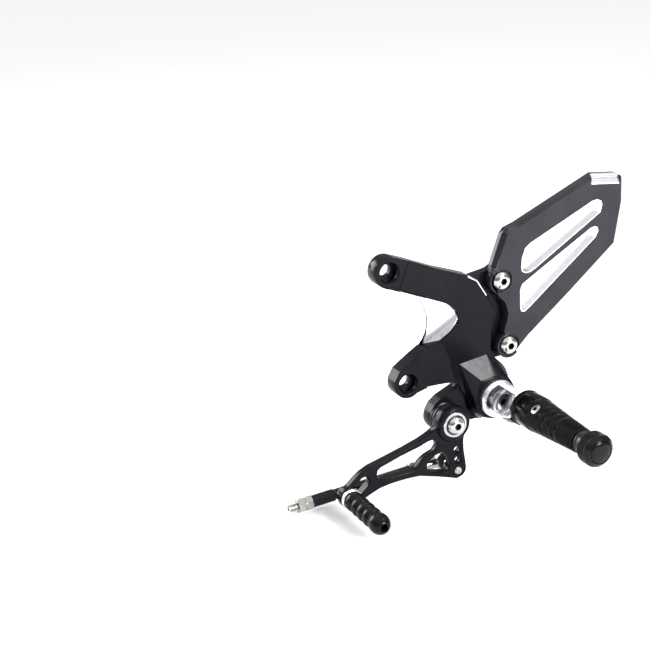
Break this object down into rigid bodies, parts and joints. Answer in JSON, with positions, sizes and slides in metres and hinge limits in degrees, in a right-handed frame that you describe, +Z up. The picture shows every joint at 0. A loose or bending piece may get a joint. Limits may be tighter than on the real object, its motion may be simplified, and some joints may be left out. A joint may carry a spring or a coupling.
{
  "type": "rear sets footrest",
  "caption": "Gear-shift side rear-set footrest: faceted hanger plate, slotted heel guard, folding knurled footpeg, pivoting shift lever with toe peg and ball-jointed rod.",
  "frame": {"origin": "centre of the upper mounting bore on the hanger's mounting face", "axes": "+X to the rear of the motorcycle, +Y towards the frame along the mounting bores, +Z up; the footpeg points to -Y"},
  "size_m": [0.2739, 0.1626, 0.2346],
  "materials": {
    "black_anodised": "satin black anodised, fine bead-blast grain",
    "machined_bare": "bright machined, faint tool marks",
    "peg_black": "semi-gloss black anodised, knurled where gripped",
    "screw_steel": "bright stainless",
    "bearing_steel": "ground and polished",
    "zinc_steel": "plain zinc-plated",
    "black_steel": "black oxide, semi-matt",
    "sleeve_black": "satin black anodised",
    "seal_rubber": "matt moulded"
  },
  "bodies": {
    "hanger": {"hanger": "black_anodised", "hanger_web": "machined_bare", "bright_edge": "machined_bare", "heel_guard": "black_anodised", "guard_bright_faces": "machined_bare", "guard_bolts": "screw_steel", "peg_base": "machined_bare", "base_bolt": "black_steel", "base_washer": "black_steel", "hinge_bolt": "screw_steel", "hinge_nut": "zinc_steel", "bearing_inner": "bearing_steel", "pivot_spacer": "sleeve_black", "pivot_bolt": "screw_steel", "pivot_nut": "zinc_steel"},
    "footpeg": {"peg_collar": "peg_black", "collar_screw": "screw_steel", "peg_barrel": "peg_black", "peg_core": "black_steel", "peg_cap": "peg_black", "cap_disc": "peg_black"},
    "lever": {"lever": "black_anodised", "bearing_outer": "bearing_steel", "toe_washer": "machined_bare", "toe_peg": "peg_black", "toe_stud": "zinc_steel", "toe_nut": "zinc_steel", "ball_stud": "zinc_steel", "ball_seal": "seal_rubber"},
    "rod": {"rod_end": "zinc_steel", "rod_jam_nut": "zinc_steel", "rod_sleeve": "sleeve_black", "rod_stud": "zinc_steel", "rod_nuts": "zinc_steel"}
  },
  "joints": [
    {"name": "peg_fold", "type": "hinge", "parent": "hanger", "child": "footpeg", "pos_m": [0.088, -0.046, -0.106], "axis": [-0.8211, 0, 0.5707], "range_deg": [0, 80]},
    {"name": "lever_pivot", "type": "hinge", "parent": "hanger", "child": "lever", "pos_m": [0.0489, -0.021, -0.1192], "axis": [0, 1, 0], "range_deg": [-12, 12]},
    {"name": "rod_swing", "type": "hinge", "parent": "lever", "child": "rod", "pos_m": [0.055, -0.0015, -0.1586], "axis": [0, 1, 0], "range_deg": [-20, 20]}
  ]
}
